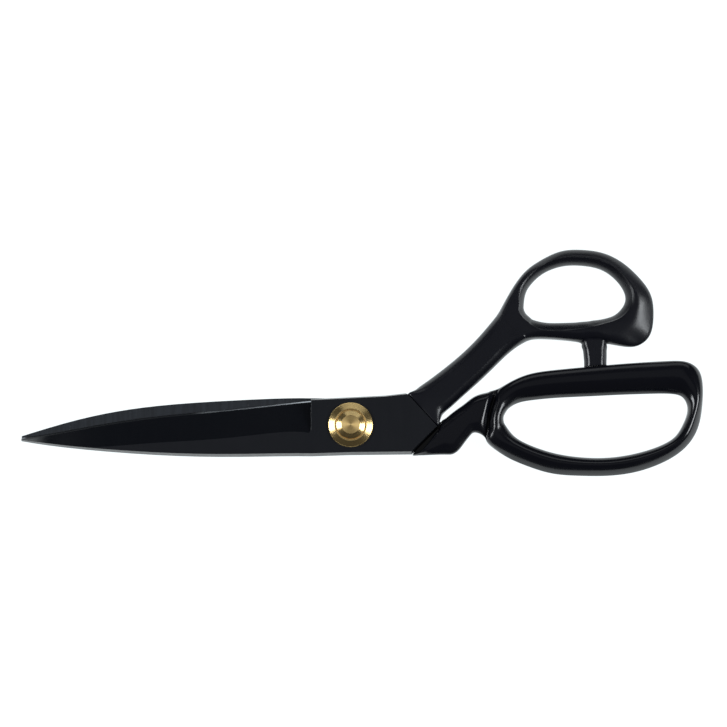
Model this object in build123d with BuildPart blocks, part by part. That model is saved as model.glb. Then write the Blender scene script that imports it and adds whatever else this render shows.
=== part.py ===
from build123d import *
import math
import os

os.makedirs("parts", exist_ok=True)

# Tailor's shears, closed and lying flat. X runs from the tips to the bows, Y towards the
# thumb bow, Z up. The origin is on the pivot axis, in the flat outer face of the finger
# blade, which lies on the table. The finger half is underneath, the thumb half on top.

# Stack of the two plates
plate = 4.95  # thickness of each blade at the pivot
ride_gap = 0.10  # between the two inner faces
stack = 2 * plate + ride_gap
proud = 0.40  # the handles stand this much above the thumb blade
handle_height = stack + proud

# Forged blades
draft = math.tan(math.radians(10.0))  # slope of the forged sides
tip_x = -134.7
heel_x = -16.2  # where the ground bevel ends
heel_corner = 2.0  # rounded corner of the ground bevel
tip_thinning = 1.8  # the blade gets this much thinner from heel to tip
edge_stock = 2.0  # metal left beyond the cutting edge before grinding
grind_reach = 15.0  # the grinding cuts go this far beyond the cutting edge
grind_room = 6.0  # and this far above the outer face
bevel_margin = 0.05  # between the flat strip and the side of the grinding cuts at the heel
bevel_bow = 0.9  # the same, further down the blade
bevel_bow_x = -40.0
hone_width = 0.75
hone_slope = math.tan(math.radians(50.0))
hollow_depth = 0.22  # of the inner face, so that only the edges touch
hollow_land = 1.3
hollow_full_width = 12.0  # a narrower inner face has a shallower hollow

# Stations down a blade: x, spine, width of the flat strip beside the spine, cutting edge.
# They are in the blade's own frame, where the cutting edge is towards +Y.
thumb_stations = [
    (-16.0, -12.50, 8.2, 10.50),
    (-42.0, -12.70, 7.4, 7.70),
    (-70.0, -12.40, 4.8, 4.90),
    (-95.0, -10.95, 1.6, 1.80),
    (-115.0, -9.10, -0.3, -1.75),
    (tip_x, -6.30, -0.8, -4.70),
]
finger_stations = [
    (-16.0, -11.40, 8.0, 10.60),
    (-42.0, -10.80, 7.3, 9.20),
    (-70.0, -9.10, 4.8, 7.90),
    (-95.0, -6.10, 1.6, 6.80),
    (-115.0, -1.70, -0.3, 6.30),
    (tip_x, 4.20, -0.8, 6.20),
]

# Heel of each plate, in the same frame: x, the side beyond the spine, the side beyond the edge
thumb_heel = [(-16.0, -12.50, 11.05), (0.0, -12.00, 11.80), (14.0, -11.85, 12.50), (50.0, -11.45, 16.5)]
finger_heel = [(-16.0, -11.40, 11.30), (0.0, -11.20, 11.50), (14.0, -11.20, 11.60), (50.0, -11.20, 11.6)]
bolster_top = (23.3, 12.6)  # the straight joint between plate and handle
bolster_bottom = (35.2, -0.35)
heel_low = (25.7, -11.0)  # the free slanted side of the heel
heel_point = (35.8, -1.0)

# Tangs inside the cast handles
tang_height = 1.2  # above the inner face
tang_thickness = 2.5
tang_length = 27.0
tang_root = 9.0
tang_end = 6.0
tang_rounding = 2.0
tang_hole = 3.2  # the cast metal runs through it
tang_hole_inset = 7.0
thumb_tang = (27.5, 5.0, 43.0)  # x, y and direction of its root, in the blade's own frame
finger_tang = (28.0, 7.0, -27.0)

# Pivot
shank_radius = 4.0
running_fit = 0.05
thread_radius = 3.5
screw_head_radius = 7.0
screw_head_height = 1.6
head_recess = 0.3  # the head is this far inside the flat back
head_chamfer = 0.4
head_side_gap = 0.15
head_top = head_recess + screw_head_height
counterbore_depth = 2.6
slot_width = 1.4
slot_depth = 0.9
neck_radius = 5.0
neck_flat = 4.2  # from the axis to each of the neck's two flats
neck_length = 2.0
thread_gap = 0.02
thread_relief = 0.6  # between the end of the pivot pin and the nut's neck
thread_chamfer = 0.5
thread_end_gap = 0.3  # to the end of the nut's bore
spring_play = 0.2  # round the pivot pin
spring_thickness = 0.45
spring_cone = 0.18  # rise from the spring washer's rim to its bore
washer_radius = 9.1
washer_edge = 0.8
washer_top = 1.75
washer_break = 0.2  # rounding of its outer edge
washer_lip = 0.3  # flat ring round the nut
nut_radius = 6.3
nut_rim = 1.45
boss_radius = 5.75
boss_top_radius = 3.8
boss_height = 2.8
boss_foot = (0.1, 0.2)  # a small step where the boss leaves the rim
nut_bore_top = 2.2  # the blind bore ends this far above the plates

# Handles, seen from above: outlines and openings of the bows
bow_chamfer = 2.4
opening_chamfer = 2.0
thumb_outline = [
    (19.0, 11.4),
    (26.8, 14.9),
    (34.6, 20.2),
    (42.8, 26.8),
    (52.2, 35.7),
    (59.2, 44.1),
    (65.3, 54.7),
    (70.9, 62.7),
    (77.6, 67.7),
    (85.8, 71.5),
    (94.0, 72.8),
    (103.9, 70.8),
    (112.5, 66.1),
    (118.6, 59.9),
    (122.7, 53.5),
    (124.2, 46.0),
    (122.7, 38.3),
    (118.9, 33.9),
    (114.5, 32.7),
    (109.0, 33.9),
    (101.0, 34.4),
    (92.8, 34.6),
    (84.0, 35.6),
    (77.0, 35.9),
    (71.5, 34.9),
    (65.3, 30.7),
    (57.1, 23.0),
    (47.3, 13.9),
    (39.2, 6.6),
    (36.4, 2.6),
    (34.6, -4.0),
]
thumb_root = [(14.0, 6.0)]
thumb_opening = [
    (70.6, 50.5),
    (73.2, 57.8),
    (79.5, 63.4),
    (88.0, 66.1),
    (98.1, 65.8),
    (106.5, 62.1),
    (111.6, 56.2),
    (111.9, 50.0),
    (107.1, 45.0),
    (98.1, 42.8),
    (87.0, 42.0),
    (77.6, 42.5),
    (72.2, 45.4),
]
finger_outline = [
    (32.5, 0.4),
    (38.7, 2.6),
    (45.6, 8.0),
    (52.2, 12.2),
    (59.2, 14.2),
    (65.3, 17.6),
    (71.5, 20.4),
    (80.0, 22.1),
    (94.0, 23.6),
    (114.5, 25.3),
    (130.0, 26.3),
    (138.0, 25.6),
    (143.0, 21.6),
    (144.6, 14.6),
    (143.6, 6.2),
    (140.8, -2.8),
    (135.0, -10.0),
    (126.8, -15.0),
    (114.5, -18.9),
    (100.6, -20.6),
    (85.8, -19.6),
    (71.5, -15.8),
    (61.2, -10.7),
    (55.5, -6.0),
    (51.3, -2.9),
    (47.9, -5.4),
    (44.0, -10.3),
    (40.0, -11.9),
]
finger_root = [(17.0, -11.9), (28.0, 0.4)]
finger_opening = [
    (62.0, 2.7),
    (64.4, 7.6),
    (70.5, 10.6),
    (81.7, 12.1),
    (102.2, 13.2),
    (126.0, 14.0),
    (134.4, 13.2),
    (137.9, 8.0),
    (136.2, 0.6),
    (130.9, -6.4),
    (122.7, -10.2),
    (112.5, -12.7),
    (100.6, -13.8),
    (85.8, -12.4),
    (73.5, -8.6),
    (65.0, -3.2),
]
shoulder = [(25.1, 11.7), (29.6, 9.8), (35.1, 2.9)]  # faces the heel of the other half
swing_radius = 37.0  # the other half's heel point turns inside this
swing_angles = (5.0, -8.0, -20.0)
room_near = 10.0
room_side = 20.0

# Stop post, from the thumb bow down to the finger bow
stop_gap = 0.25
stop_foot = (100.35, 24.14)  # middle of the foot, on the finger bow
stop_slope = 4.73  # of the finger bow there
stop_width = 8.7
stop_thickness = 6.0
stop_rounding = 2.0
stop_length = 12.5

thumb_face = Plane(origin=(0, 0, plate + ride_gap), x_dir=(1, 0, 0), z_dir=(0, 0, 1))
finger_face = Plane(origin=(0, 0, plate), x_dir=(1, 0, 0), z_dir=(0, 0, -1))


def outer_height(x):
    """Height of the outer face above the inner one: flat at the pivot, thinner at the tip."""
    run = max(heel_x - x, 0)
    radius = ((heel_x - tip_x) ** 2 + tip_thinning**2) / (2 * tip_thinning)
    return plate - radius + math.sqrt(radius**2 - run**2)


def across(face, x):
    """The plane across a blade at x, with its own x towards the cutting edge and y outwards."""
    return Plane(origin=(x, 0, face.origin.Z), x_dir=face.y_dir, z_dir=(1, 0, 0))


def drafted_section(face, x, low, high):
    """A section of the forging: both sides lean in towards the outer face."""
    height = outer_height(x)
    with BuildSketch(across(face, x)) as section:
        with BuildLine():
            Polyline(
                (low, 0),
                (high, 0),
                (high - height * draft, height),
                (low + height * draft, height),
                close=True,
            )
        make_face()
    return section.sketch.face()


def ground_away(face, stations):
    """What the grinder takes off: the main bevel and the honed edge, ending in a rounded step."""
    rise = hone_width * hone_slope
    inset = plate * draft
    heel_start = stations[0][1] + inset + stations[0][2]
    with BuildPart() as cut:
        for x, spine, strip, edge in stations:
            top = outer_height(x)
            start = spine + inset + strip
            slope = (top - rise) / (edge - hone_width - start)
            with BuildSketch(across(face, x)):
                with BuildLine():
                    Polyline(
                        (start - edge_stock, top + edge_stock * slope),
                        (edge - hone_width, rise),
                        (edge + edge_stock, -edge_stock * hone_slope),
                        (edge + grind_reach, -edge_stock * hone_slope),
                        (edge + grind_reach, plate + grind_room),
                        (start - edge_stock, plate + grind_room),
                        close=True,
                    )
                make_face()
        loft()
        with BuildSketch(face.offset(-plate)) as reach:
            with BuildLine():
                Polyline(
                    (heel_x, 2 * grind_reach),
                    (heel_x, heel_start - bevel_margin),
                    (bevel_bow_x, heel_start - bevel_bow),
                    (tip_x - plate, -2 * grind_reach),
                    (tip_x - plate, 2 * grind_reach),
                    close=True,
                )
            make_face()
            fillet(reach.vertices().sort_by_distance((heel_x, heel_start))[0], heel_corner)
        extrude(amount=2 * plate + grind_room, mode=Mode.INTERSECT)
    return cut


def hollowed_away(face, stations):
    """The shallow hollow of an inner face, which leaves a narrow land along both edges."""
    with BuildPart() as cut:
        for x, spine, strip, edge in stations[1:-1]:
            low = spine + hollow_land
            high = edge - hollow_land
            depth = hollow_depth * min(1, (high - low) / hollow_full_width)
            with BuildSketch(across(face, x)):
                with BuildLine():
                    Line((low, 0), (high, 0))
                    ThreePointArc((high, 0), ((low + high) / 2, depth), (low, 0))
                make_face()
        loft()
    return cut


def joint_plane(face):
    """The plane of the straight joint between a plate and its handle, facing the handle."""
    along = Vector(*bolster_bottom) - Vector(*bolster_top)
    return Plane(
        origin=face.from_local_coords(Vector(*bolster_top)),
        x_dir=face.z_dir,
        z_dir=Vector(-along.Y, along.X * face.y_dir.Y, 0),
    )


def heel_side_plane(face):
    """The drafted plane of the heel's free slanted side, facing outwards."""
    along = (Vector(*heel_point) - Vector(*heel_low)).normalized()
    return Plane(
        origin=face.from_local_coords(Vector(*heel_low)),
        x_dir=(along.X, along.Y * face.y_dir.Y, 0),
        z_dir=(along.Y, -along.X * face.y_dir.Y, draft * face.z_dir.Z),
    )


def forged_blade(face, stations, heel, tang):
    """One blade from tip to tang. The face is its inner one, with +Y towards the cutting edge."""
    ground = ground_away(face, stations)
    hollowed = hollowed_away(face, stations)
    x, y, angle = tang
    direction = Vector(1, 0, 0).rotate(Axis.Z, angle * face.y_dir.Y)
    tang_plane = Plane(
        origin=face.from_local_coords(Vector(x, y, tang_height)), x_dir=direction, z_dir=face.z_dir
    )
    with BuildPart() as blade:
        stock = [(x, spine, edge + edge_stock) for x, spine, strip, edge in stations[1:]]
        loft([drafted_section(face, *station) for station in heel[:1] + stock])
        loft([drafted_section(face, *station) for station in heel], ruled=True)
        split(bisect_by=joint_plane(face), keep=Keep.BOTTOM)
        split(bisect_by=heel_side_plane(face), keep=Keep.BOTTOM)
        add(ground.part, mode=Mode.SUBTRACT)
        add(hollowed.part, mode=Mode.SUBTRACT)
        with BuildSketch(tang_plane) as tongue:
            with BuildLine():
                Polyline(
                    (0, -tang_root / 2),
                    (tang_length, -tang_end / 2),
                    (tang_length, tang_end / 2),
                    (0, tang_root / 2),
                    close=True,
                )
            make_face()
            fillet(tongue.vertices().group_by(Axis(tang_plane.origin, direction))[-1], tang_rounding)
            with Locations((tang_length - tang_hole_inset, 0)):
                Circle(tang_hole / 2, mode=Mode.SUBTRACT)
        extrude(amount=tang_thickness)
    return blade


def heel_room(face):
    """The space that a handle leaves for the heel of the other half."""
    swing = [
        (swing_radius * math.cos(angle), swing_radius * math.sin(angle))
        for angle in map(math.radians, swing_angles)
    ]
    with BuildPart() as room:
        with BuildSketch(face.offset(-room_side)):
            with BuildLine():
                Polyline(
                    (room_near, -room_side),
                    (room_near, room_side),
                    (shoulder[0][0], room_side),
                    *shoulder,
                    swing[0],
                )
                ThreePointArc(*swing)
                Line(swing[2], (room_near, -room_side))
            make_face()
        extrude(amount=room_side)
    return room


def cast_handle(face, outline, root, opening, blade):
    """A handle cast round its blade's tang, with its bow."""
    room = heel_room(face)
    with BuildPart() as handle:
        with BuildSketch():
            with BuildLine():
                side = Spline(outline)
                Polyline(side @ 1, *root, side @ 0)
            make_face()
        extrude(amount=handle_height)
        chamfer(handle.edges().group_by(Axis.Z)[0] + handle.edges().group_by(Axis.Z)[-1], bow_chamfer)
        with BuildSketch():
            with BuildLine():
                Spline(opening, periodic=True)
            make_face()
        extrude(amount=handle_height, mode=Mode.SUBTRACT)
        middle = Vector(*opening[0]) * 0.5 + Vector(*opening[len(opening) // 2]) * 0.5
        for level in (0, handle_height):
            rims = handle.edges().filter_by_position(Axis.Z, level - 0.01, level + 0.01)
            chamfer(rims.sort_by_distance(middle + Vector(0, 0, level))[0], opening_chamfer)
        split(bisect_by=joint_plane(face), keep=Keep.TOP)
        add(room.part, mode=Mode.SUBTRACT)
        add(blade.part, mode=Mode.SUBTRACT)
    return handle


# The thumb half's blade, with a keyed seat for the nut's neck
with BuildPart() as thumb_blade:
    add(forged_blade(thumb_face, thumb_stations, thumb_heel, thumb_tang).part)
    with BuildSketch(thumb_face):
        Circle(shank_radius + running_fit)
    extrude(amount=plate, mode=Mode.SUBTRACT)
    with BuildSketch(thumb_face.offset(plate)):
        Circle(neck_radius + running_fit)
        Rectangle(4 * neck_radius, 2 * (neck_flat + running_fit), mode=Mode.INTERSECT)
    extrude(amount=-neck_length - running_fit, mode=Mode.SUBTRACT)

# The finger half's blade, with the bore that turns on the screw and the seat for its head
with BuildPart() as finger_blade:
    add(forged_blade(finger_face, finger_stations, finger_heel, finger_tang).part)
    with BuildSketch(Plane.XY):
        Circle(shank_radius + running_fit)
    extrude(amount=plate, mode=Mode.SUBTRACT)
    with BuildSketch(Plane.XY):
        Circle(screw_head_radius + head_side_gap)
    extrude(amount=counterbore_depth, mode=Mode.SUBTRACT)

# The thumb half's handle, with the stop post that rests on the finger bow
with BuildPart() as thumb_handle:
    add(cast_handle(thumb_face, thumb_outline, thumb_root, thumb_opening, thumb_blade).part)
    foot = Plane(
        origin=(stop_foot[0], stop_foot[1] + stop_gap, handle_height / 2),
        x_dir=(0, 0, 1),
        z_dir=Vector(0, 1, 0).rotate(Axis.Z, stop_slope),
    )
    with BuildSketch(foot):
        RectangleRounded(stop_thickness, stop_width, stop_rounding)
    extrude(amount=stop_length)

# The finger half's handle
with BuildPart() as finger_handle:
    add(cast_handle(finger_face, finger_outline, finger_root, finger_opening, finger_blade).part)

# The slotted steel screw: its shank is the pivot pin, its thread is in the nut
with BuildPart() as pivot_screw:
    shank_top = stack - neck_length - thread_relief
    screw_top = stack + nut_bore_top - thread_end_gap
    with BuildSketch(Plane.XZ):
        with BuildLine():
            Polyline(
                (0, head_recess),
                (screw_head_radius - head_chamfer, head_recess),
                (screw_head_radius, head_recess + head_chamfer),
                (screw_head_radius, head_top),
                (shank_radius, head_top),
                (shank_radius, shank_top),
                (thread_radius, shank_top + thread_chamfer),
                (thread_radius, screw_top - thread_chamfer),
                (thread_radius - thread_chamfer, screw_top),
                (0, screw_top),
                close=True,
            )
        make_face()
    revolve(axis=Axis.Z)
    with BuildSketch(Plane.XY.offset(head_recess)):
        Rectangle(3 * screw_head_radius, slot_width)
    extrude(amount=slot_depth, mode=Mode.SUBTRACT)

# The coned spring washer under the screw's head
with BuildPart() as tension_washer:
    spring_rim = head_top + thread_gap
    spring_radius = screw_head_radius - spring_play / 2
    with BuildSketch(Plane.XZ):
        with BuildLine():
            Polyline(
                (shank_radius + spring_play, spring_rim + spring_cone),
                (spring_radius, spring_rim),
                (spring_radius, spring_rim + spring_thickness),
                (shank_radius + spring_play, spring_rim + spring_cone + spring_thickness),
                close=True,
            )
        make_face()
    revolve(axis=Axis.Z)

# The dished brass ring that the nut sits in
with BuildPart() as nut_washer:
    with BuildSketch(Plane.XZ):
        with BuildLine():
            Polyline(
                (nut_radius + running_fit, stack),
                (washer_radius, stack),
                (washer_radius, stack + washer_edge - washer_break),
                (washer_radius - washer_break, stack + washer_edge),
                (nut_radius + washer_lip, stack + washer_top),
                (nut_radius + running_fit, stack + washer_top),
                close=True,
            )
        make_face()
    revolve(axis=Axis.Z)

# The brass cap nut, with a neck of two flats that the thumb blade turns
with BuildPart() as pivot_nut:
    with BuildSketch(Plane.XZ):
        with BuildLine():
            Polyline(
                (0, stack + nut_bore_top),
                (0, stack + boss_height),
                (boss_top_radius, stack + boss_height),
                (boss_radius, stack + nut_rim + boss_foot[1]),
                (boss_radius + boss_foot[0], stack + nut_rim),
                (nut_radius, stack + nut_rim),
                (nut_radius, stack),
                (neck_radius, stack),
                (neck_radius, stack - neck_length),
                (thread_radius + thread_gap, stack - neck_length),
                (thread_radius + thread_gap, stack + nut_bore_top),
                close=True,
            )
        make_face()
    revolve(axis=Axis.Z)
    for side in (1, -1):
        with BuildSketch(Plane.XY.offset(stack - neck_length)):
            with Locations((0, side * (neck_flat + neck_radius))):
                Rectangle(4 * neck_radius, 2 * neck_radius)
        extrude(amount=neck_length, mode=Mode.SUBTRACT)

finished = {
    "thumb_blade": thumb_blade,
    "thumb_handle": thumb_handle,
    "finger_blade": finger_blade,
    "finger_handle": finger_handle,
    "pivot_screw": pivot_screw,
    "tension_washer": tension_washer,
    "nut_washer": nut_washer,
    "pivot_nut": pivot_nut,
}
for name, piece in finished.items():
    piece.part.label = name
    export_step(piece.part, f"parts/{name}.step")
    print(name, len(piece.part.solids()), round(piece.part.volume, 1))
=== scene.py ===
import math

import bmesh
import bpy
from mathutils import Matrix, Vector


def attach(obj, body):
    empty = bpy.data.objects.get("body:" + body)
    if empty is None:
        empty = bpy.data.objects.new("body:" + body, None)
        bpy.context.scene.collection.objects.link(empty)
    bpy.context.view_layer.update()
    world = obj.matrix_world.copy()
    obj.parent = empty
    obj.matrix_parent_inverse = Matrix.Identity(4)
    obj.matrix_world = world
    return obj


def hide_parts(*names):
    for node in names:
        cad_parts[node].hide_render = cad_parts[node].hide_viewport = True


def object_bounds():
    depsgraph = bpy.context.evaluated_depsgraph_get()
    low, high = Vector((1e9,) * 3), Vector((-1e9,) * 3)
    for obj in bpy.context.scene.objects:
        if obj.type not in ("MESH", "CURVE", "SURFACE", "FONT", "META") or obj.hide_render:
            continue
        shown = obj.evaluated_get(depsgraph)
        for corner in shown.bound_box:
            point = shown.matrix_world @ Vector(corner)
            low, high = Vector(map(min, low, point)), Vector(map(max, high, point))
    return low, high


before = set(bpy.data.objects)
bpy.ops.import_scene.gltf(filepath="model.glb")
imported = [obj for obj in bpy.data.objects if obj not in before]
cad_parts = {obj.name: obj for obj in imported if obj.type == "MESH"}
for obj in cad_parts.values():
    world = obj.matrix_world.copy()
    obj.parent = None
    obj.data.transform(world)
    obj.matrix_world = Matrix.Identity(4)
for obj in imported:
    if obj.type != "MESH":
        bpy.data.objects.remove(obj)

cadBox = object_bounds()
mm = 0.001


def newGroup(name, inputs, outputs):
    # a shader node group with named sockets; inputs are (name, type, default)
    group = bpy.data.node_groups.new(name, "ShaderNodeTree")
    for label, kind, default in inputs:
        socket = group.interface.new_socket(label, in_out="INPUT", socket_type=kind)
        if default is not None:
            socket.default_value = default
    for label, kind in outputs:
        group.interface.new_socket(label, in_out="OUTPUT", socket_type=kind)
    start = group.nodes.new("NodeGroupInput")
    end = group.nodes.new("NodeGroupOutput")
    return group, start, end


def calc(tree, operation, a, b=None):
    # a Math node whose inputs are numbers or sockets
    node = tree.nodes.new("ShaderNodeMath")
    node.operation = operation
    for socket, value in zip(node.inputs, (a, b)):
        if value is None:
            continue
        if isinstance(value, (int, float)):
            socket.default_value = value
        else:
            tree.links.new(value, socket)
    return node.outputs[0]


def mapRange(tree, value, low, high, outLow=0.0, outHigh=1.0, smooth=True):
    node = tree.nodes.new("ShaderNodeMapRange")
    node.interpolation_type = "SMOOTHSTEP" if smooth else "LINEAR"
    tree.links.new(value, node.inputs["Value"])
    for label, number in (("From Min", low), ("From Max", high), ("To Min", outLow), ("To Max", outHigh)):
        node.inputs[label].default_value = number
    return node.outputs["Result"]


def noise(tree, vector, scale, detail=2.0, rough=0.5):
    node = tree.nodes.new("ShaderNodeTexNoise")
    tree.links.new(vector, node.inputs["Vector"])
    node.inputs["Scale"].default_value = scale
    node.inputs["Detail"].default_value = detail
    node.inputs["Roughness"].default_value = rough
    return node.outputs["Fac"]


def stretched(tree, vector, scale):
    # the vector stretched along its axes, for grain that runs one way
    node = tree.nodes.new("ShaderNodeMapping")
    tree.links.new(vector, node.inputs["Vector"])
    node.inputs["Scale"].default_value = scale
    return node.outputs["Vector"]


def axesOf(tree, vector):
    # the X, Y and Z of a vector
    node = tree.nodes.new("ShaderNodeSeparateXYZ")
    tree.links.new(vector, node.inputs[0])
    return node.outputs


grainLook = {
    "fineStretch": (1.0, 0.035, 0.035),
    "deepStretch": (1.0, 0.06, 0.06),
    "deepScale": 900.0,
    "deepDepth": 0.8,  # against the fine scratches
}


def buildGrainGroup():
    # fine scratches across the blade, with a few deeper ones, from a grinding belt
    group, start, end = newGroup(
        "GrindingGrain",
        [("Vector", "NodeSocketVector", None), ("Fine", "NodeSocketFloat", 9000.0)],
        [("Height", "NodeSocketFloat"), ("Streak", "NodeSocketFloat")],
    )
    along = stretched(group, start.outputs["Vector"], grainLook["fineStretch"])
    fine = group.nodes.new("ShaderNodeTexNoise")
    group.links.new(along, fine.inputs["Vector"])
    group.links.new(start.outputs["Fine"], fine.inputs["Scale"])
    fine.inputs["Detail"].default_value = 3.0
    belt = stretched(group, start.outputs["Vector"], grainLook["deepStretch"])
    wide = noise(group, belt, grainLook["deepScale"], 4.0, 0.6)
    deep = calc(group, "MULTIPLY", mapRange(group, wide, 0.60, 0.74), grainLook["deepDepth"])
    height = calc(group, "SUBTRACT", fine.outputs["Fac"], deep)
    group.links.new(height, end.inputs["Height"])
    group.links.new(wide, end.inputs["Streak"])
    return group


smudgeLook = {
    "markScale": 55.0,
    "dustScale": 520.0,
    "patchScale": 90.0,  # dust gathers in patches of this scale
}


def buildSmudgeGroup():
    # soft hand marks and fine dust, as two masks
    group, start, end = newGroup(
        "SmudgeAndDust",
        [("Vector", "NodeSocketVector", None), ("Dust", "NodeSocketFloat", 0.5)],
        [("Smudge", "NodeSocketFloat"), ("Dust", "NodeSocketFloat")],
    )
    broad = noise(group, start.outputs["Vector"], smudgeLook["markScale"], 4.0, 0.55)
    group.links.new(mapRange(group, broad, 0.42, 0.72), end.inputs["Smudge"])
    cells = group.nodes.new("ShaderNodeTexVoronoi")
    cells.inputs["Scale"].default_value = smudgeLook["dustScale"]
    group.links.new(start.outputs["Vector"], cells.inputs["Vector"])
    speck = mapRange(group, cells.outputs["Distance"], 0.06, 0.02)
    patches = noise(group, start.outputs["Vector"], smudgeLook["patchScale"], 2.0)
    specks = calc(group, "MULTIPLY", speck, mapRange(group, patches, 0.5, 0.62))
    dust = calc(group, "MULTIPLY", specks, start.outputs["Dust"])
    group.links.new(dust, end.inputs["Dust"])
    return group


edgeLook = {
    "samples": 6,
    "chipScale": 700.0,  # breaks the wear up along an edge
}


def buildEdgeGroup():
    # a rounded normal for hard edges, and a mask that is 1 on them, broken up by noise
    group, start, end = newGroup(
        "EdgeWear",
        [
            ("Vector", "NodeSocketVector", None),
            ("Radius", "NodeSocketFloat", 0.0003),
            ("Amount", "NodeSocketFloat", 0.5),
        ],
        [("Wear", "NodeSocketFloat"), ("Normal", "NodeSocketVector")],
    )
    rounded = group.nodes.new("ShaderNodeBevel")
    rounded.samples = edgeLook["samples"]
    group.links.new(start.outputs["Radius"], rounded.inputs["Radius"])
    shape = group.nodes.new("ShaderNodeNewGeometry")
    dot = group.nodes.new("ShaderNodeVectorMath")
    dot.operation = "DOT_PRODUCT"
    group.links.new(rounded.outputs["Normal"], dot.inputs[0])
    group.links.new(shape.outputs["Normal"], dot.inputs[1])
    bent = mapRange(group, dot.outputs["Value"], 0.985, 0.90)
    chips = noise(group, start.outputs["Vector"], edgeLook["chipScale"], 3.0, 0.6)
    broken = calc(group, "MULTIPLY", bent, mapRange(group, chips, 0.42, 0.66))
    wear = calc(group, "MULTIPLY", broken, start.outputs["Amount"])
    group.links.new(wear, end.inputs["Wear"])
    group.links.new(rounded.outputs["Normal"], end.inputs["Normal"])
    return group


grainGroup = buildGrainGroup()
smudgeGroup = buildSmudgeGroup()
edgeGroup = buildEdgeGroup()


def useGroup(tree, group, vector, **values):
    node = tree.nodes.new("ShaderNodeGroup")
    node.node_tree = group
    tree.links.new(vector, node.inputs["Vector"])
    for label, number in values.items():
        node.inputs[label].default_value = number
    return node


def newMaterial(name, color, metallic, rough):
    material = bpy.data.materials.new(name)
    material.use_nodes = True
    tree = material.node_tree
    shader = tree.nodes["Principled BSDF"]
    shader.inputs["Base Color"].default_value = (*color, 1)
    shader.inputs["Metallic"].default_value = metallic
    shader.inputs["Roughness"].default_value = rough
    place = tree.nodes.new("ShaderNodeTexCoord").outputs["Object"]
    return material, tree, shader, place


def facing(tree):
    # the surface's direction in the piece's own axes
    return axesOf(tree, tree.nodes.new("ShaderNodeTexCoord").outputs["Normal"])


def mixColors(tree, mask, a, b):
    node = tree.nodes.new("ShaderNodeMix")
    node.data_type = "RGBA"
    tree.links.new(mask, node.inputs[0])
    for socket, value in ((node.inputs[6], a), (node.inputs[7], b)):
        if isinstance(value, tuple):
            socket.default_value = (*value, 1)
        else:
            tree.links.new(value, socket)
    return node.outputs[2]


def addBump(tree, shader, height, distance, normal=None):
    bump = tree.nodes.new("ShaderNodeBump")
    if normal is not None:
        tree.links.new(normal, bump.inputs["Normal"])
    bump.inputs["Distance"].default_value = distance
    tree.links.new(height, bump.inputs["Height"])
    tree.links.new(bump.outputs["Normal"], shader.inputs["Normal"])


enamelLook = {
    "satin": {"color": (0.0050, 0.0055, 0.0095), "rough": 0.27, "bump": 0.00002},
    "gloss": {"color": (0.0034, 0.0038, 0.0068), "rough": 0.16, "bump": 0.000012},
    "dust": (0.07, 0.07, 0.07),
    "smudgeRough": 0.09,  # how much rougher a hand mark is
    "peelScale": 420.0,
    "swellScale": 95.0,
    "swellShare": 2.0,
}


def enamel(kind):
    # baked enamel on a casting: faint orange peel, hand marks, specks of dust
    look = enamelLook[kind]
    material, tree, shader, place = newMaterial(kind + "Enamel", look["color"], 0.0, look["rough"])
    marks = useGroup(tree, smudgeGroup, place, Dust=0.5)
    smudged = look["rough"] + enamelLook["smudgeRough"]
    rough = mapRange(tree, marks.outputs["Smudge"], 0, 1, look["rough"], smudged, False)
    tree.links.new(rough, shader.inputs["Roughness"])
    dusty = mixColors(tree, marks.outputs["Dust"], look["color"], enamelLook["dust"])
    tree.links.new(dusty, shader.inputs["Base Color"])
    peel = noise(tree, place, enamelLook["peelScale"], 3.0)
    swell = noise(tree, place, enamelLook["swellScale"])
    swollen = calc(tree, "MULTIPLY", swell, enamelLook["swellShare"])
    addBump(tree, shader, calc(tree, "ADD", peel, swollen), look["bump"])
    return material


bladeLook = {
    "coating": (0.0070, 0.0080, 0.0115),
    "bevel": (0.0030, 0.0038, 0.0062),
    "bevelShine": 0.15,
    "flatShine": 0.5,
    "ground": (0.0330, 0.0375, 0.0450),
    "groundDark": (0.020, 0.0225, 0.027),
    "worn": (0.050, 0.054, 0.062),
    "dust": (0.10, 0.10, 0.10),
    "steel": (0.40, 0.42, 0.45),
    "rough": (0.30, 0.37),  # between the streaks, and on them
    "smudgeRough": 0.03,
    "bareSmooth": 0.12,  # bare steel is smoother by this
    "honeStart": -0.052,  # the bare honed edge fades out here
    "honeFade": 0.014,
    "tipBare": (0.0022, 0.0008),  # the coating is rubbed off over the last of the tip
    "tipShare": 0.5,
    "bump": 0.000008,
    # how far each part leans toward the cutting edge and outward, from where its look starts to full
    "bevelLean": (0.03, 0.10),
    "bevelOut": (0.5, 0.8),
    "insideOut": (-0.8, -0.95),
    "honeLean": (0.55, 0.64),
    "honeOut": (0.44, 0.54),
}


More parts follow.
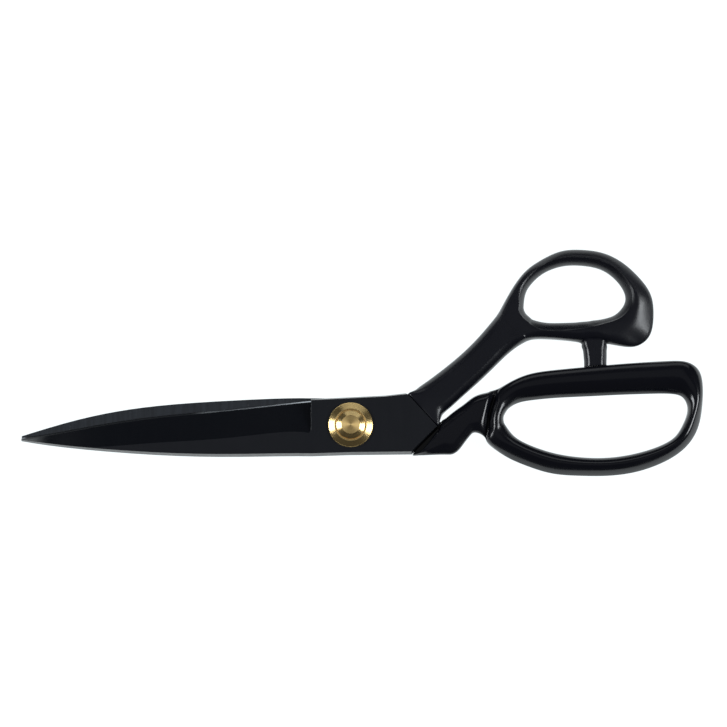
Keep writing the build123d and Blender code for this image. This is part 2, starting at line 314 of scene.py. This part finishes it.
def blackBlade(side):
    # dark coating over ground steel, bare along the honed edge
    # side is 1 for the thumb blade, and -1 for the finger blade, which is the same turned over
    look = bladeLook
    material, tree, shader, place = newMaterial("blackBlade", look["coating"], 0.0, look["rough"][0])
    grain = useGroup(tree, grainGroup, place, Fine=7000.0)
    marks = useGroup(tree, smudgeGroup, place, Dust=0.3)
    edges = useGroup(tree, edgeGroup, place, Radius=0.0003, Amount=0.35)
    normal = facing(tree)
    spot = axesOf(tree, place)
    toward = calc(tree, "MULTIPLY", normal["Y"], float(side))
    outward = calc(tree, "MULTIPLY", normal["Z"], float(side))

    # the ground bevel, the hollow inner side and the honed edge are told apart by which way they face
    leaning, outer = mapRange(tree, toward, *look["bevelLean"]), mapRange(tree, outward, *look["bevelOut"])
    onBevel = calc(tree, "MULTIPLY", leaning, outer)
    onInside = mapRange(tree, outward, *look["insideOut"])
    leaning, outer = mapRange(tree, toward, *look["honeLean"]), mapRange(tree, outward, *look["honeOut"])
    honed = calc(tree, "MULTIPLY", leaning, outer)
    faded = mapRange(tree, spot["X"], look["honeStart"] - look["honeFade"], look["honeStart"])
    tip = cadBox[0][0]
    point = mapRange(tree, spot["X"], tip + look["tipBare"][0], tip + look["tipBare"][1])
    rubbed = calc(tree, "MAXIMUM", faded, calc(tree, "MULTIPLY", point, look["tipShare"]))
    bare = calc(tree, "MULTIPLY", honed, rubbed)

    streak = mapRange(tree, grain.outputs["Streak"], 0.3, 0.7)
    plain = mixColors(tree, onBevel, look["coating"], look["bevel"])
    ground = mixColors(tree, streak, look["ground"], look["groundDark"])
    inside = mixColors(tree, onInside, plain, ground)
    worn = mixColors(tree, edges.outputs["Wear"], inside, look["worn"])
    dusty = mixColors(tree, marks.outputs["Dust"], worn, look["dust"])
    tree.links.new(mixColors(tree, bare, dusty, look["steel"]), shader.inputs["Base Color"])
    tree.links.new(bare, shader.inputs["Metallic"])

    streaky = mapRange(tree, grain.outputs["Streak"], 0.3, 0.8, *look["rough"], False)
    smudged = calc(tree, "MULTIPLY", marks.outputs["Smudge"], look["smudgeRough"])
    polish = calc(tree, "MULTIPLY", bare, look["bareSmooth"])
    rough = calc(tree, "SUBTRACT", calc(tree, "ADD", streaky, smudged), polish)
    tree.links.new(rough, shader.inputs["Roughness"])
    dull = mapRange(tree, onBevel, 0, 1, look["flatShine"], look["bevelShine"], False)
    tree.links.new(dull, shader.inputs["Specular IOR Level"])
    addBump(tree, shader, grain.outputs["Height"], look["bump"], edges.outputs["Normal"])
    return material


brassLook = {
    "color": (0.93, 0.68, 0.30),
    "tarnish": (0.82, 0.55, 0.22),
    "rough": 0.24,
    "faceRough": 0.30,  # the faced end is rougher than the cones by this
    "ringsPerMetre": 5200.0,
}
steelLook = {
    "color": (0.30, 0.30, 0.31),
    "tarnish": (0.12, 0.12, 0.125),
    "rough": 0.34,
    "faceRough": 0.06,
    "ringsPerMetre": 4200.0,
}
latheLook = {
    "slowShare": 0.18,  # how many broad rings there are to one fine one
    "tarnishMost": 0.5,
    "smudgeRough": 0.06,
    "faceStart": (0.985, 0.998),  # how squarely a face points along the axis
    "anisotropy": 0.5,
    "anisotropyTurn": 0.25,
    "bump": 0.000008,
}


def turned(name, look):
    # lathe-turned metal: fine rings round the pivot axis
    material, tree, shader, place = newMaterial(name, look["color"], 1.0, look["rough"])
    spot = axesOf(tree, place)
    across = calc(tree, "MULTIPLY", spot["X"], spot["X"])
    up = calc(tree, "MULTIPLY", spot["Y"], spot["Y"])
    radius = calc(tree, "SQRT", calc(tree, "ADD", across, up))
    onRings = tree.nodes.new("ShaderNodeCombineXYZ")
    tree.links.new(radius, onRings.inputs["X"])
    rings = noise(tree, onRings.outputs[0], look["ringsPerMetre"], 2.0, 0.6)
    slow = noise(tree, onRings.outputs[0], look["ringsPerMetre"] * latheLook["slowShare"], 3.0, 0.6)
    marks = useGroup(tree, smudgeGroup, place, Dust=0.3)
    edges = useGroup(tree, edgeGroup, place, Radius=0.00012, Amount=0.0)
    addBump(tree, shader, calc(tree, "ADD", rings, slow), latheLook["bump"], edges.outputs["Normal"])

    shader.inputs["Anisotropic"].default_value = latheLook["anisotropy"]
    shader.inputs["Anisotropic Rotation"].default_value = latheLook["anisotropyTurn"]
    lathe = tree.nodes.new("ShaderNodeTangent")
    lathe.direction_type = "RADIAL"
    lathe.axis = "Z"
    tree.links.new(lathe.outputs["Tangent"], shader.inputs["Tangent"])

    tone = calc(tree, "MULTIPLY", mapRange(tree, slow, 0.35, 0.75), latheLook["tarnishMost"])
    tree.links.new(mixColors(tree, tone, look["color"], look["tarnish"]), shader.inputs["Base Color"])
    squarely = calc(tree, "ABSOLUTE", facing(tree)["Z"])
    face = mapRange(tree, squarely, *latheLook["faceStart"], 0.0, look["faceRough"])
    smudged = look["rough"] + latheLook["smudgeRough"]
    rough = mapRange(tree, marks.outputs["Smudge"], 0, 1, look["rough"], smudged, False)
    tree.links.new(calc(tree, "ADD", rough, face), shader.inputs["Roughness"])
    return material


def dress(node, material):
    # a CAD node keeps its shape and takes a better material
    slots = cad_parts[node].data.materials
    for index in range(len(slots)):
        slots[index] = material
    if not len(slots):
        slots.append(material)


dress("thumb_blade", blackBlade(1))
dress("finger_blade", blackBlade(-1))
brass = turned("turnedBrass", brassLook)
dress("pivot_nut", brass)
dress("nut_washer", brass)
steel = turned("turnedSteel", steelLook)
dress("pivot_screw", steel)
dress("tension_washer", steel)
print("materials on the CAD pieces done")


middle = 5.2  # the handles' mid height, in mm
smoothing = {
    "levels": 3,
    "rounds": 16,  # passes that fit a cage to its points
    "step": 0.9,
}


def limitPoint(cage, index, ends, corners, sharpEnds):
    # where a cage point lands on the smooth surface, or on its own line along a sharp edge
    here = cage[index]
    count = len(ends)
    if len(sharpEnds) > 2:
        return here
    if len(sharpEnds) == 2:
        return (here * 4 + cage[sharpEnds[0]] + cage[sharpEnds[1]]) / 6
    total = here * (count * count)
    for j in ends:
        total += cage[j] * 4
    for j in corners:
        total += cage[j]
    return total / (count * (count + 5))


class Cage:
    # a quad cage whose smooth surface passes through the given points
    def __init__(self, flipped):
        self.points = []
        self.faces = []
        self.sharp = set()
        self.flipped = flipped  # the finger half is the thumb half turned over

    def add(self, x, y, z):
        # x, y and z are in mm
        if self.flipped:
            z = 2 * middle - z
        self.points.append(Vector((x * mm, y * mm, z * mm)))
        return len(self.points) - 1

    def crease(self, a, b):
        self.sharp.add(frozenset((a, b)))

    def quad(self, a, b, c, d):
        self.faces.append((a, b, c, d))

    def neighbours(self, vert, layer):
        ends = [e.other_vert(vert).index for e in vert.link_edges]
        sharpEnds = [e.other_vert(vert).index for e in vert.link_edges if e[layer] > 0.5]
        corners = []
        for face in vert.link_faces:
            ring = [w.index for w in face.verts]
            corners.append(ring[(ring.index(vert.index) + 2) % 4])
        return ends, corners, sharpEnds

    def settle(self):
        # moves the cage so that its smooth surface meets the points
        mesh = bmesh.new()
        verts = [mesh.verts.new(p) for p in self.points]
        mesh.verts.index_update()
        for face in self.faces:
            mesh.faces.new([verts[i] for i in face])
        bmesh.ops.recalc_face_normals(mesh, faces=mesh.faces)
        layer = mesh.edges.layers.float.new("crease_edge")
        for edge in mesh.edges:
            if frozenset(v.index for v in edge.verts) in self.sharp:
                edge[layer] = 1.0
        near = [self.neighbours(v, layer) for v in verts]
        cage = [p.copy() for p in self.points]
        for _ in range(smoothing["rounds"]):
            limits = [limitPoint(cage, i, *around) for i, around in enumerate(near)]
            cage = [c + (p - q) * smoothing["step"] for c, p, q in zip(cage, self.points, limits)]
        for vert, place in zip(verts, cage):
            vert.co = place
        return mesh


def smoothPiece(name, mesh, material):
    # a piece with its smooth surface made real, so that its box is exact
    data = bpy.data.meshes.new(name)
    mesh.to_mesh(data)
    mesh.free()
    data.materials.append(material)
    for polygon in data.polygons:
        polygon.use_smooth = True
    piece = bpy.data.objects.new(name, data)
    bpy.context.collection.objects.link(piece)
    smooth = piece.modifiers.new("smooth", "SUBSURF")
    smooth.levels = smoothing["levels"]
    smooth.render_levels = smoothing["levels"]
    smooth.use_limit_surface = True
    graph = bpy.context.evaluated_depsgraph_get()
    piece.data = bpy.data.meshes.new_from_object(piece.evaluated_get(graph))
    piece.modifiers.clear()
    piece.data.name = name
    return piece


def ringSections(cage, stations, profiles):
    # each station is (outer x, outer y, inner x, inner y, kind)
    # a kind's profile is pairs of a share across the section and a height above the middle
    top = []
    bottom = []
    for xo, yo, xi, yi, kind in stations:
        upper = []
        lower = []
        width = math.hypot(xo - xi, yo - yi)
        for share, height in profiles[kind](width):
            x = xo + (xi - xo) * share
            y = yo + (yi - yo) * share
            upper.append(cage.add(x, y, middle + height))
            lower.append(cage.add(x, y, middle - height))
        top.append(upper)
        bottom.append(lower)
    return top, bottom


def joinRing(cage, top, bottom, joined):
    # skins the ring; joined holds the spans where a shank or a post meets its outer side
    count = len(top)
    for k in range(count):
        n = (k + 1) % count
        for j in range(len(top[0]) - 1):
            cage.quad(top[k][j], top[k][j + 1], top[n][j + 1], top[n][j])
            cage.quad(bottom[k][j], bottom[n][j], bottom[n][j + 1], bottom[k][j + 1])
        cage.quad(top[k][-1], bottom[k][-1], bottom[n][-1], top[n][-1])
        if k not in joined:
            cage.quad(top[k][0], top[n][0], bottom[n][0], bottom[k][0])


def crossRow(left, right, shares):
    # points along the line from left to right
    return [(left[0] + (right[0] - left[0]) * s, left[1] + (right[1] - left[1]) * s) for s in shares]


def sheetRow(cage, before, places, heights):
    # one more row of a sheet, joined to the row before it
    row = [cage.add(x, y, z) for (x, y), z in zip(places, heights)]
    for j in range(len(row) - 1):
        cage.quad(before[j], before[j + 1], row[j + 1], row[j])
    return row


def tubeRow(cage, topRow, bottomRow, places, heights, lowPlaces=None):
    # one more row of a tube, with its two side walls
    newTop = sheetRow(cage, topRow, places, [middle + h for h in heights])
    newBottom = sheetRow(cage, bottomRow, lowPlaces or places, [middle - h for h in heights])
    for j in (0, -1):
        cage.quad(topRow[j], newTop[j], newBottom[j], bottomRow[j])
    return newTop, newBottom


shankLook = {
    "shares": (0.36, 0.64),  # the two middle columns
    "lowShares": (0.38, 0.64),
    "jointEdge": 0.6,  # the rounded edge narrows to this share at the joint
    "edgeDrop": 1.6,
    "browDrop": 0.9,
    "browEdgeDrop": 2.2,
    "lipRise": 0.8,
    "lipEdgeRise": 2.0,
}


def across(level, outer, inner=0.0):
    # the heights of a shank's row, with its two ends apart from its middle
    return [level + outer] + [level + inner] * 4 + [level + outer]


def buildShank(cage, topRow, bottomRow, look):
    # the flat-faced shank, ending in a step: one level runs on over the blade's tang,
    # and the other stops at the shoulder
    # each row is (left, right, heights)
    for left, right, heights in look["shankRows"]:
        width = math.dist(left, right)
        edge = look["shankEdge"] / width
        lean = look["undercut"] / width
        upper = crossRow(left, right, (0, edge, *shankLook["shares"], 1 - edge, 1))
        lower = crossRow(left, right, (lean, edge + lean, *shankLook["lowShares"], 1 - edge, 1))
        if cage.flipped:
            upper, lower = lower, upper
        topRow, bottomRow = tubeRow(cage, topRow, bottomRow, upper, heights, lower)

    left, right = look["joint"]
    edge = look["shankEdge"] * shankLook["jointEdge"] / math.dist(left, right)
    line = crossRow(left, right, (0, edge, *shankLook["shares"], 1 - edge, 1))
    behind = [(x + look["jointBack"][0], y + look["jointBack"][1]) for x, y in line]
    shoulder = look["shoulder"]
    shoulderBack = [(x + look["shoulderBack"][0], y + look["shoulderBack"][1]) for x, y in shoulder]

    high = 2 * middle - look["faceDepth"]
    low = look["faceDepth"]
    gap = look["levelGap"]
    face = sheetRow(cage, topRow, behind, across(high, -shankLook["edgeDrop"]))
    brow = sheetRow(cage, face, line, across(high, -shankLook["browEdgeDrop"], -shankLook["browDrop"]))
    under = sheetRow(cage, brow, line, across(gap, 0.0))
    notch = sheetRow(cage, under, shoulder, across(gap, 0.0))
    lip = sheetRow(cage, notch, shoulder, across(low, shankLook["lipEdgeRise"], shankLook["lipRise"]))
    sole = sheetRow(cage, lip, shoulderBack, across(low, shankLook["edgeDrop"]))
    for j in range(len(line) - 1):
        cage.quad(sole[j], sole[j + 1], bottomRow[j + 1], bottomRow[j])
        cage.crease(under[j], under[j + 1])
        cage.crease(notch[j], notch[j + 1])
    for j in (0, -1):
        cage.quad(face[j], brow[j], under[j], notch[j])
        cage.quad(topRow[j], face[j], notch[j], lip[j])
        cage.quad(topRow[j], lip[j], sole[j], bottomRow[j])
        cage.crease(under[j], notch[j])
        cage.crease(brow[j], under[j])


evenShares = (0.0, 0.15, 0.5, 0.85, 1.0)  # across a section


def roundProfile(height, heights, shares=evenShares):
    # a round section, with its outer side first
    return lambda width: [(s, h * height) for s, h in zip(shares, heights)]


ridgeLook = {
    "rise": (0.5, 0.97),  # mm before the ridge, and the share of the full height there
    "fall": (0.25, 0.86),  # mm past the ridge
    "rim": 0.32,
}


def ridgedProfile(height, ridge, outer=(0.36, 0.80), share=0.15, crest=0.42):
    # round outside, with a crisp ridge near the opening and a bevel down to its rim
    # ridge is how far the ridge stands from the opening, in mm
    riseBy, riseHeight = ridgeLook["rise"]
    fallBy, fallHeight = ridgeLook["fall"]

    def profile(width):
        return [
            (0.0, outer[0] * height),
            (share, outer[1] * height),
            (crest, height),
            (1 - (ridge + riseBy) / width, riseHeight * height),
            (1 - (ridge - fallBy) / width, fallHeight * height),
            (1.0, ridgeLook["rim"] * height),
        ]
    return profile


shankHeights = (2.1, 4.7, 5.1, 5.1, 4.7, 2.1)
thumbLook = {
    "faceDepth": 0.2,  # the faces at the joint lie this far inside the handle's height
    "levelGap": 5.25,  # height of the step between the two levels
    "shankEdge": 2.3,  # width of the shank's rounded edges
    "undercut": 0.0,
    "ring": [
        (61.2, 46.9, 70.8, 49.5, "rimLeft"),
        (65.3, 54.7, 71.6, 54.5, "left"),
        (70.9, 62.7, 74.6, 59.3, "left"),
        (77.5, 67.9, 79.5, 63.4, "top"),
        (85.7, 71.8, 86.3, 66.0, "top"),
        (94.0, 72.65, 93.5, 66.5, "top"),
        (103.4, 71.4, 101.4, 65.3, "top"),
        (111.9, 67.2, 107.3, 62.1, "right"),
        (118.7, 60.9, 111.4, 57.6, "right"),
        (123.2, 54.0, 113.2, 53.1, "right"),
        (124.2, 46.0, 112.3, 49.2, "bulb"),
        (122.9, 38.2, 109.5, 46.0, "bulb"),
        (118.8, 33.8, 106.3, 44.4, "bulb"),
        (113.2, 32.7, 102.6, 43.5, "heel"),
        (105.5, 34.0, 99.8, 43.1, "postRim"),
        (103.3, 35.0, 97.9, 42.8, "post"),
        (99.8, 35.3, 95.8, 42.6, "post"),
        (96.4, 35.1, 93.7, 42.4, "post"),
        (94.2, 34.5, 91.5, 42.2, "postRim"),
        (85.8, 35.5, 85.5, 42.0, "low"),
        (77.6, 35.9, 79.5, 42.2, "low"),
        (72.2, 35.1, 75.0, 43.3, "rimLow"),
        (70.3, 35.9, 73.8, 44.1, "shank"),
        (67.0, 37.9, 72.3, 45.4, "shank"),
        (63.5, 41.6, 71.2, 46.9, "shank"),
        (61.9, 44.7, 70.8, 48.1, "shank"),
    ],
    "shankRows": [
        ((66.0, 31.3), (57.8, 42.2), shankHeights),
        ((60.0, 25.8), (52.2, 35.7), shankHeights),
        ((53.0, 19.0), (45.6, 29.2), shankHeights),
        ((46.0, 12.7), (38.8, 23.5), shankHeights),
        ((40.6, 7.8), (32.2, 18.5), shankHeights),
        ((37.4, 4.7), (27.4, 15.2), shankHeights),
    ],
    "joint": ((35.3, -0.3), (23.4, 12.7)),
    "jointBack": (0.9, 0.8),
    "shoulder": [(36.2, 2.4), (34.9, 3.3), (32.4, 6.5), (29.8, 9.7), (27.2, 11.3), (25.0, 12.4)],
    "shoulderBack": (0.7, 0.7),
}
thumbProfiles = {
    "left": ridgedProfile(5.1, 1.9),
    "rimLeft": ridgedProfile(5.1, 1.9, (0.42, 0.85)),
    "top": ridgedProfile(5.0, 2.1, (0.24, 0.66), 0.16, 0.50),
    "right": ridgedProfile(5.0, 2.2, (0.20, 0.60), 0.18, 0.54),
    "bulb": ridgedProfile(4.9, 2.3, (0.12, 0.50), 0.18, 0.54),
    "heel": ridgedProfile(4.8, 2.4, (0.24, 0.66), 0.15, 0.48),
    "low": ridgedProfile(5.0, 2.6),
    "rimLow": ridgedProfile(5.1, 2.3, (0.42, 0.85)),
    "shank": ridgedProfile(5.1, 2.1, (0.97, 1.0)),
    "post": ridgedProfile(5.0, 2.5, (0.62, 0.80)),
    "postRim": ridgedProfile(5.0, 2.5, (0.28, 0.70)),
}
postLook = {
    "rows": [32.9, 31.2, 28.8, 26.4],
    "left": [95.0, 95.5, 95.8, 96.0],
    "right": [105.0, 104.85, 104.8, 104.7],
    "foot": ((104.7, 25.0), (96.0, 24.28)),
    "footShares": (0, 0.22, 0.5, 0.78, 1),
    "footScale": 0.95,
    "half": 3.0,  # half of its thickness
    "corner": 1.9,  # width of its rounded edges
    "rimHalf": 1.0,  # half of its thickness at its sides
}


def buildPost(cage, topRow, bottomRow):
    # the stop post that keeps the bows apart, with rounded edges and a slightly rounded foot
    look = postLook
    heights = (look["rimHalf"], look["half"], look["half"], look["half"], look["rimHalf"])
    for y, left, right in zip(look["rows"], look["left"], look["right"]):
        inset = look["corner"] / (right - left)
        places = crossRow((right, y), (left, y), (0, inset, 0.5, 1 - inset, 1))
        topRow, bottomRow = tubeRow(cage, topRow, bottomRow, places, heights)
    foot = crossRow(*look["foot"], look["footShares"])
    footHeights = [h * look["footScale"] for h in heights]
    topRow, bottomRow = tubeRow(cage, topRow, bottomRow, foot, footHeights)
    for j in range(len(foot) - 1):
        cage.quad(topRow[j], topRow[j + 1], bottomRow[j + 1], bottomRow[j])
        cage.crease(topRow[j], topRow[j + 1])
        cage.crease(bottomRow[j], bottomRow[j + 1])
    cage.crease(topRow[0], bottomRow[0])
    cage.crease(topRow[-1], bottomRow[-1])


def outerEnds(rows, spans):
    # the outer points of the sections where something joins the ring
    return [rows[k][0] for k in spans]


def buildThumbHandle():
    look = thumbLook
    cage = Cage(False)
    top, bottom = ringSections(cage, look["ring"], thumbProfiles)
    kinds = [station[4] for station in look["ring"]]
    count = len(kinds)
    shankStart = kinds.index("rimLow")
    postStart = kinds.index("postRim")
    postEnd = count - 1 - kinds[::-1].index("postRim")
    joinRing(cage, top, bottom, set(range(shankStart, count)) | set(range(postStart, postEnd)))
    shank = [*range(shankStart, count), 0]
    buildShank(cage, outerEnds(top, shank), outerEnds(bottom, shank), look)
    post = range(postStart, postEnd + 1)
    buildPost(cage, outerEnds(top, post), outerEnds(bottom, post))
    return cage.settle()


fingerHeights = (2.8, 4.6, 5.1, 5.1, 4.7, 2.1)
fingerLook = {
    "faceDepth": 0.2,
    "levelGap": 5.45,
    "shankEdge": 2.3,
    "undercut": 1.3,  # the low edge of the shank leans in under the face
    "ring": [
        (60.4, 14.9, 65.1, 7.6, "rim"),
        (66.4, 18.5, 68.8, 9.7, "bar"),
        (74.4, 21.5, 75.0, 10.9, "bar"),
        (85.0, 23.0, 84.5, 11.8, "bar"),
        (97.0, 24.15, 96.5, 12.4, "bar"),
        (109.0, 25.2, 108.5, 13.0, "bar"),
        (120.0, 26.0, 119.0, 13.4, "bar"),
        (130.0, 26.55, 127.5, 13.6, "bar"),
        (137.6, 26.2, 133.0, 13.3, "bar"),
        (142.6, 22.9, 136.2, 11.8, "end"),
        (144.25, 17.0, 137.9, 8.6, "end"),
        (144.15, 10.0, 137.8, 5.0, "end"),
        (142.9, 2.0, 136.3, 1.0, "low"),
        (139.9, -5.1, 133.4, -3.8, "low"),
        (134.3, -11.0, 128.8, -7.2, "low"),
        (126.1, -15.6, 122.1, -9.9, "low"),
        (116.0, -18.9, 113.4, -12.1, "low"),
        (105.0, -20.32, 104.0, -13.2, "low"),
        (94.0, -20.32, 94.5, -13.0, "low"),
        (82.9, -19.45, 85.1, -11.7, "low"),
        (73.3, -16.7, 76.7, -9.3, "low"),
        (65.6, -13.5, 69.8, -6.3, "low"),
        (59.9, -10.1, 65.8, -3.2, "end"),
        (55.9, -6.4, 63.5, -0.1, "rim"),
        (56.3, -3.1, 62.7, 1.3, "neck"),
        (56.6, 0.9, 62.5, 3.0, "neck"),
        (57.2, 5.6, 62.9, 4.6, "neck"),
        (58.8, 11.3, 63.8, 6.2, "neck"),
    ],
    "shankRows": [
        ((55.0, -5.0), (57.2, 14.0), (1.0, 2.0, 2.4, 3.2, 3.8, 1.8)),
        ((53.2, -3.5), (55.8, 13.4), (1.6, 3.8, 4.5, 5.0, 4.8, 2.1)),
        ((50.6, -2.9), (51.2, 12.0), (2.4, 4.45, 5.0, 4.95, 4.7, 2.1)),
        ((48.9, -4.1), (46.8, 8.8), fingerHeights),
        ((46.6, -7.0), (43.6, 6.5), fingerHeights),
        ((44.0, -10.3), (40.6, 4.2), fingerHeights),
        ((41.2, -11.9), (38.6, 2.6), fingerHeights),
        ((36.2, -12.0), (36.9, 0.9), fingerHeights),
    ],
    "joint": ((25.6, -11.2), (35.3, 0.3)),
    "jointBack": (0.9, -0.8),
    "shoulder": [(26.4, -12.1), (27.7, -11.3), (29.8, -9.6), (32.4, -6.5), (34.9, -3.2), (36.2, -1.9)],
    "shoulderBack": (0.7, -0.3),
}
fingerProfiles = {
    "bar": roundProfile(5.1, (0.42, 0.84, 1.0, 0.70, 0.14), (0.0, 0.12, 0.44, 0.80, 1.0)),
    "end": roundProfile(4.9, (0.22, 0.70, 1.0, 0.72, 0.22)),
    "low": roundProfile(4.7, (0.12, 0.60, 1.0, 0.72, 0.28), (0.0, 0.20, 0.56, 0.87, 1.0)),
    "rim": roundProfile(5.0, (0.35, 0.78, 1.0, 0.75, 0.30)),
    "neck": roundProfile(5.1, (0.40, 0.78, 1.0, 0.76, 0.30), (0.0, 0.20, 0.5, 0.83, 1.0)),
}


def buildFingerHandle():
    look = fingerLook
    cage = Cage(True)
    top, bottom = ringSections(cage, look["ring"], fingerProfiles)
    kinds = [station[4] for station in look["ring"]]
    count = len(kinds)
    shankStart = count - 1 - kinds[::-1].index("rim")
    joinRing(cage, top, bottom, set(range(shankStart, count)))
    shank = [*range(shankStart, count), 0]
    buildShank(cage, outerEnds(top, shank), outerEnds(bottom, shank), look)
    return cage.settle()


thumbHandle = smoothPiece("thumbHandle", buildThumbHandle(), enamel("satin"))
fingerHandle = smoothPiece("fingerHandle", buildFingerHandle(), enamel("gloss"))
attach(thumbHandle, "thumb_half")
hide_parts("thumb_handle")
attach(fingerHandle, "finger_half")
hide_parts("finger_handle")
print("handles done")


studio = {
    "tilt": 6.0,  # degrees the camera leans from straight down
    "distance": 1.4904,
    "target": (0.00525, 0.02560, 0.0062),
    "lens": 180.0,
    "ambient": 0.05,
    "floorSize": 4.0,
    "floorGap": 0.0004,  # keeps the floor clear of the shears
    "floorColor": (0.12, 0.12, 0.12),
    "floorGlow": (0.93, 0.985, 1.0),
    "floorStrength": 1.06,
    "lightColor": (0.93, 0.97, 1.0),
    # name, place, what it points at, width, height and watts
    "lights": [
        ("leftStrip", (-1.05, 0.06, 0.72), (0, 0.02, 0), 0.52, 0.52, 9.0),
        ("rightStrip", (1.13, -0.10, 0.76), (0.05, 0.02, 0), 0.58, 0.56, 10.5),
        ("overhead", (0.0, 0.17, 1.6), (0, 0.02, 0), 1.1, 1.1, 0.42),
        ("farPanel", (0.2, 1.06, 0.70), (0.05, 0.02, 0), 1.5, 0.44, 1.5),
    ],
}


def areaLight(name, place, aim, width, height, power):
    data = bpy.data.lights.new(name, "AREA")
    data.shape = "RECTANGLE"
    data.size = width
    data.size_y = height
    data.energy = power
    data.color = studio["lightColor"]
    light = bpy.data.objects.new(name, data)
    light.location = place
    light.rotation_euler = (Vector(aim) - Vector(place)).to_track_quat("-Z", "Y").to_euler()
    bpy.context.collection.objects.link(light)


def buildCamera():
    tilt = math.radians(studio["tilt"])
    back = Vector((0, -math.sin(tilt), math.cos(tilt)))
    lens = bpy.data.cameras.new("camera")
    lens.lens = studio["lens"]
    lens.sensor_width = 36.0
    lens.clip_start = 0.01
    camera = bpy.data.objects.new("camera", lens)
    camera.location = Vector(studio["target"]) + back * studio["distance"]
    camera.rotation_euler = (tilt, 0, 0)
    bpy.context.collection.objects.link(camera)
    bpy.context.scene.camera = camera


def buildFloor():
    mesh = bmesh.new()
    bmesh.ops.create_grid(mesh, x_segments=1, y_segments=1, size=studio["floorSize"])
    data = bpy.data.meshes.new("floor")
    mesh.to_mesh(data)
    mesh.free()
    floor = bpy.data.objects.new("floor", data)
    floor.location = (0, 0, cadBox[0][2] - studio["floorGap"])
    bpy.context.collection.objects.link(floor)
    paper, _, shader, _ = newMaterial("palePaper", studio["floorColor"], 0.0, 0.9)
    shader.inputs["Emission Color"].default_value = (*studio["floorGlow"], 1)
    shader.inputs["Emission Strength"].default_value = studio["floorStrength"]
    data.materials.append(paper)


def buildStudio():
    buildCamera()
    buildFloor()
    world = bpy.data.worlds.new("studio")
    bpy.context.scene.world = world
    world.use_nodes = True
    background = world.node_tree.nodes["Background"]
    background.inputs["Color"].default_value = (1, 1, 1, 1)
    background.inputs["Strength"].default_value = studio["ambient"]
    for light in studio["lights"]:
        areaLight(*light)
    bpy.context.scene.view_settings.view_transform = "Standard"


buildStudio()
print("studio done")
